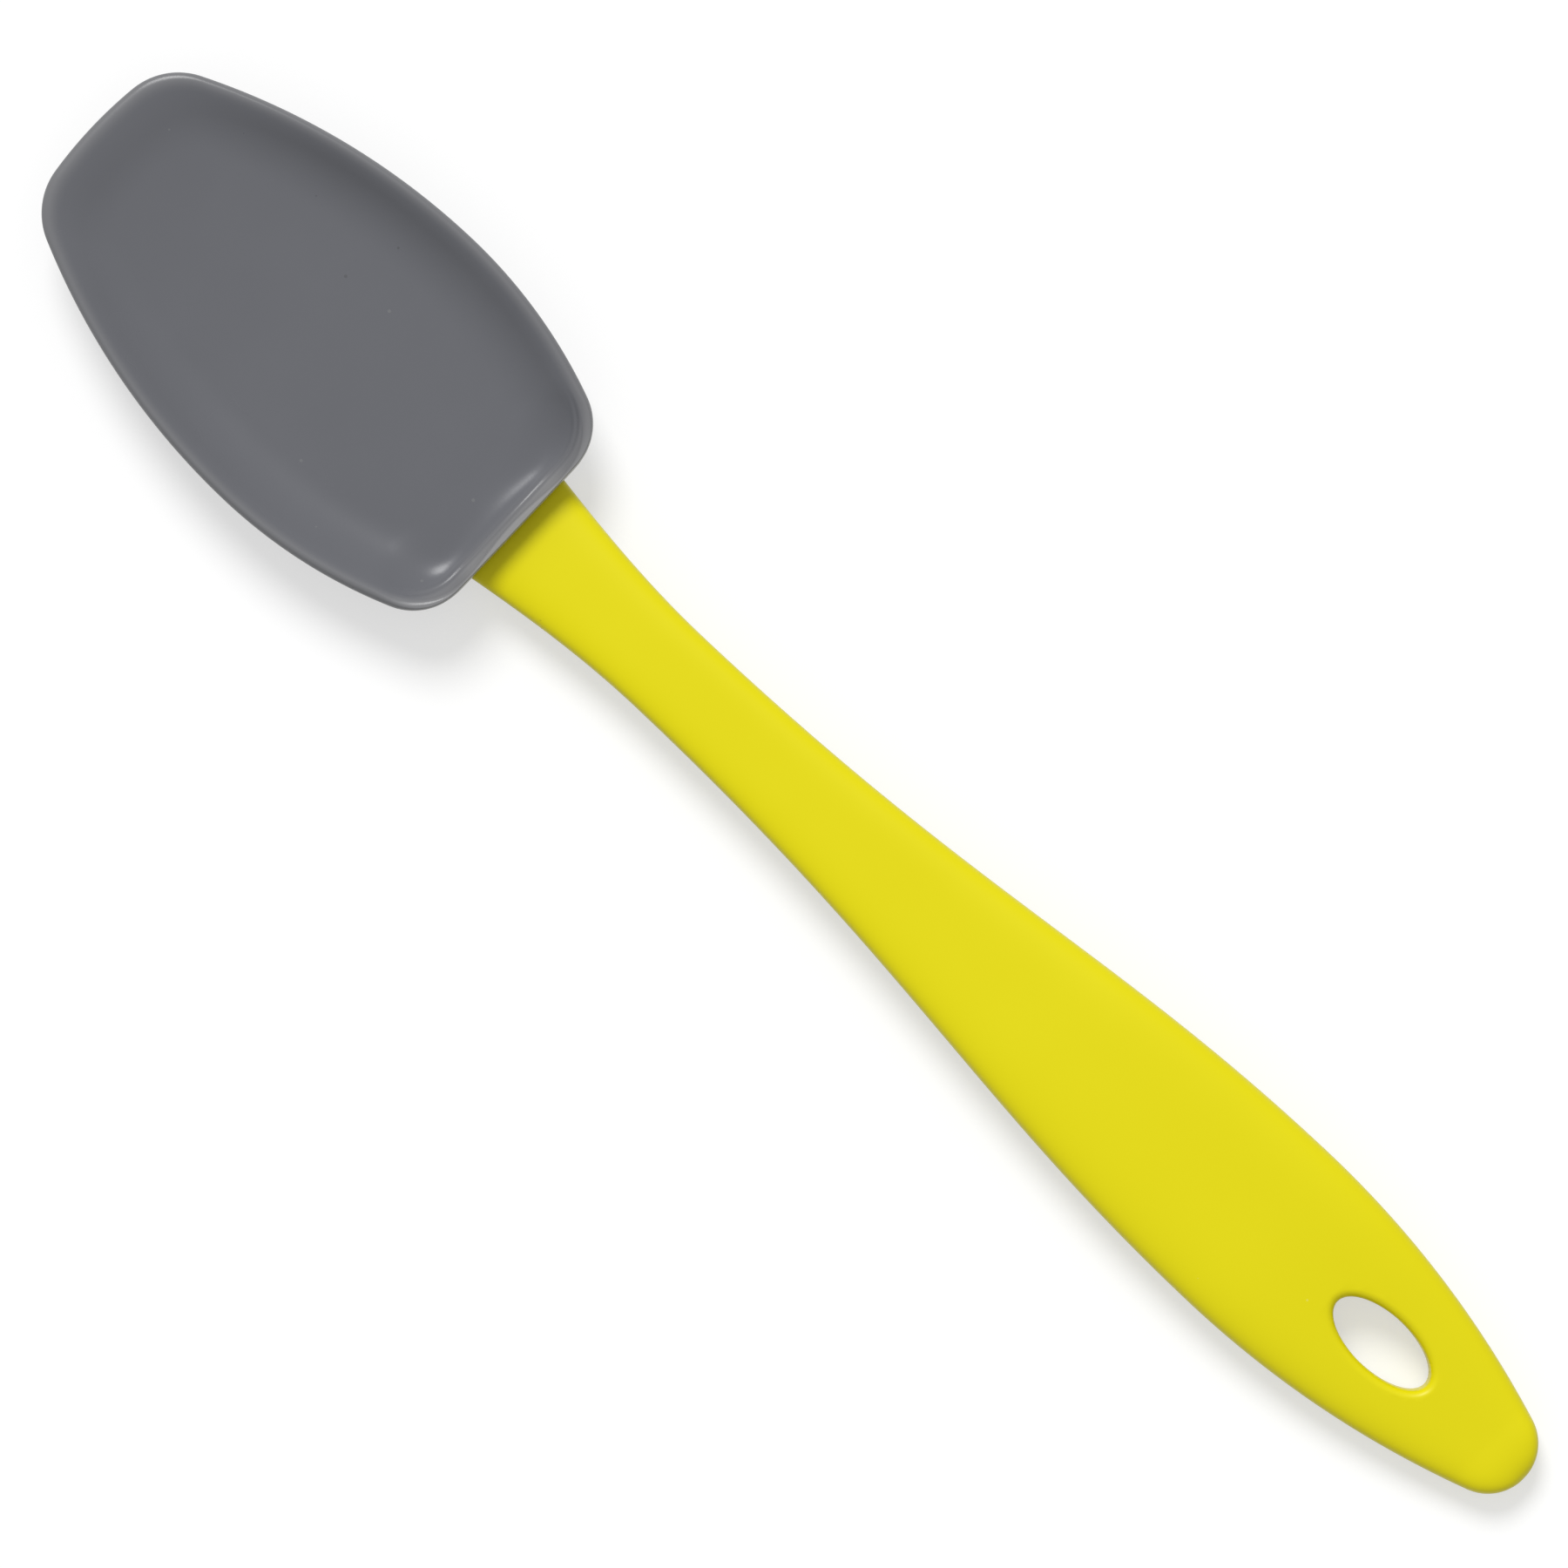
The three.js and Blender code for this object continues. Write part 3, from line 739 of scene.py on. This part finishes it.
def siliconeMaterial():
    look = siliconeLook
    material, tree, shader = newMaterial("grey silicone", {"Specular IOR Level": look["specular"]})
    skin = placeGroup(tree, mouldedSkin, (-1300, 0), look["skin"])
    dust = placeGroup(tree, dustSpecks, (-1300, -300), look["specks"])
    rim = addNode(tree, "ShaderNodeAttribute", (-1300, 250), attribute_name="rimTintAndPaintedLightBand")
    tone = mixColour(tree, (-1000, 0), skin.outputs["Cloud"], look["darker"], look["paler"])
    # mix in the rim's band: own paler tint and painted highlight
    tone = mixColour(tree, (-800, 0), rim.outputs["Fac"], tone, look["rim"])
    tone = mixColour(tree, (-600, 0), dust.outputs["Light"], tone, look["lightSpeck"])
    tone = mixColour(tree, (-400, 0), dust.outputs["Dark"], tone, look["darkSpeck"])
    tree.links.new(tone, shader.inputs["Base Color"])
    addSkin(tree, shader, skin, look["roughness"], look["grainDepth"])
    return material


plasticLook = {
    "deeper": (0.775, 0.69, 0.001), "brighter": (0.805, 0.725, 0.002),
    "lightSpeck": (0.82, 0.78, 0.2), "darkSpeck": (0.5, 0.44, 0.01),
    "specks": {"Scale": 400, "Size": 0.06, "Share": 0.06}, "speckStrength": 0.4,
    "skin": {"Cloud Scale": 40, "Grain Scale": 4000},
    "roughness": (0.32, 0.42), "grainDepth": 0.000006, "specular": 0.25,
}


def plasticMaterial():
    look = plasticLook
    material, tree, shader = newMaterial("yellow plastic", {"Specular IOR Level": look["specular"]})
    skin = placeGroup(tree, mouldedSkin, (-1300, 0), look["skin"])
    dust = placeGroup(tree, dustSpecks, (-1300, -300), look["specks"])
    tone = mixColour(tree, (-1000, 0), skin.outputs["Cloud"], look["deeper"], look["brighter"])
    strength = look["speckStrength"]
    tone = mixColour(tree, (-800, 0), dust.outputs["Light"], tone, look["lightSpeck"], strength)
    tone = mixColour(tree, (-600, 0), dust.outputs["Dark"], tone, look["darkSpeck"], strength)
    tree.links.new(tone, shader.inputs["Base Color"])
    addSkin(tree, shader, skin, look["roughness"], look["grainDepth"])
    return material


makeHandle(plasticMaterial())
makeHead(siliconeMaterial())


# Studio: camera straight down, white table, a soft sky and one round lamp beyond the tip

studio = {
    "viewWidth": 0.207, "viewCentre": (-0.00428, -0.00038), "viewTurn": 43.3, "spoonHeight": 0.007,
    "lens": 250, "sensor": 36, "viewReach": 20,
    # the azimuth is from +x
    "sky": 0.45, "lampAzimuth": 148.5, "lampElevation": 50,
    "lampDistance": 12, "lampSize": 5.32, "lampPower": 1050,
    # the glow makes the lit table plain white to the camera and in a gloss, and lights nothing
    "tableSize": 8, "tableDrop": 0.05, "tableWhite": 0.5, "tableGlow": 0.54,
}


def direction(azimuth, elevation):
    turn, rise = math.radians(azimuth), math.radians(elevation)
    return Vector((math.cos(turn) * math.cos(rise), math.sin(turn) * math.cos(rise), math.sin(rise)))


def makeCamera():
    camera = bpy.data.cameras.new("camera")
    camera.sensor_width = studio["sensor"]
    camera.lens = studio["lens"]
    camera.clip_end = studio["viewReach"]
    holder = bpy.data.objects.new("camera", camera)
    distance = studio["viewWidth"] * studio["lens"] / studio["sensor"]
    holder.location = (*studio["viewCentre"], studio["spoonHeight"] + distance)
    holder.rotation_euler = (0, 0, math.radians(studio["viewTurn"]))
    bpy.context.scene.collection.objects.link(holder)
    bpy.context.scene.camera = holder


def makeLamp():
    lamp = bpy.data.lights.new("round_lamp", "AREA")
    lamp.shape = "DISK"
    lamp.size = studio["lampSize"]
    lamp.energy = studio["lampPower"]
    holder = bpy.data.objects.new("round_lamp", lamp)
    towards = direction(studio["lampAzimuth"], studio["lampElevation"])
    holder.location = towards * studio["lampDistance"]
    holder.rotation_euler = towards.to_track_quat("Z", "Y").to_euler()
    holder.visible_camera = False
    bpy.context.scene.collection.objects.link(holder)


def cameraShare(tree, place):
    # 1 for what the camera sees straight, in a gloss or through glass
    path = addNode(tree, "ShaderNodeLightPath", (place[0] - 400, place[1]))
    first = addNode(tree, "ShaderNodeMath", (place[0] - 200, place[1]), operation="MAXIMUM")
    both = addNode(tree, "ShaderNodeMath", place, operation="MAXIMUM")
    tree.links.new(path.outputs["Is Camera Ray"], first.inputs[0])
    tree.links.new(path.outputs["Is Glossy Ray"], first.inputs[1])
    tree.links.new(first.outputs[0], both.inputs[0])
    tree.links.new(path.outputs["Is Transmission Ray"], both.inputs[1])
    return both.outputs[0]


def makeSky():
    world = bpy.data.worlds.new("soft sky")
    world.use_nodes = True
    tree = world.node_tree
    background = tree.nodes["Background"]
    background.inputs["Color"].default_value = (1, 1, 1, 1)
    path = addNode(tree, "ShaderNodeLightPath", (-400, 0))
    level = addNode(tree, "ShaderNodeMapRange", (-200, 0), {"To Min": studio["sky"], "To Max": 1})
    tree.links.new(path.outputs["Is Camera Ray"], level.inputs["Value"])
    tree.links.new(level.outputs["Result"], background.inputs["Strength"])
    bpy.context.scene.world = world


def makeTable():
    half = studio["tableSize"] / 2
    drop = -studio["tableDrop"] * mm
    corners = [(-half, -half, drop), (half, -half, drop), (half, half, drop), (-half, half, drop)]
    mesh = bpy.data.meshes.new("table")
    mesh.from_pydata(corners, [], [(0, 1, 2, 3)])
    material = bpy.data.materials.new("white table")
    material.use_nodes = True
    tree = material.node_tree
    tree.nodes.clear()
    white = studio["tableWhite"]
    paper = addNode(tree, "ShaderNodeBsdfDiffuse", (0, 100), {"Color": (white, white, white, 1)})
    level = addNode(tree, "ShaderNodeMath", (-200, -100), {1: studio["tableGlow"]}, operation="MULTIPLY")
    glow = addNode(tree, "ShaderNodeEmission", (0, -100))
    both = addNode(tree, "ShaderNodeAddShader", (200, 0))
    result = addNode(tree, "ShaderNodeOutputMaterial", (400, 0))
    tree.links.new(cameraShare(tree, (-400, -100)), level.inputs[0])
    tree.links.new(level.outputs[0], glow.inputs["Strength"])
    tree.links.new(paper.outputs[0], both.inputs[0])
    tree.links.new(glow.outputs[0], both.inputs[1])
    tree.links.new(both.outputs[0], result.inputs["Surface"])
    mesh.materials.append(material)
    table = bpy.data.objects.new("table", mesh)
    bpy.context.scene.collection.objects.link(table)


makeCamera()
makeLamp()
makeSky()
makeTable()
bpy.context.scene.view_settings.view_transform = "Standard"
print("studio set")
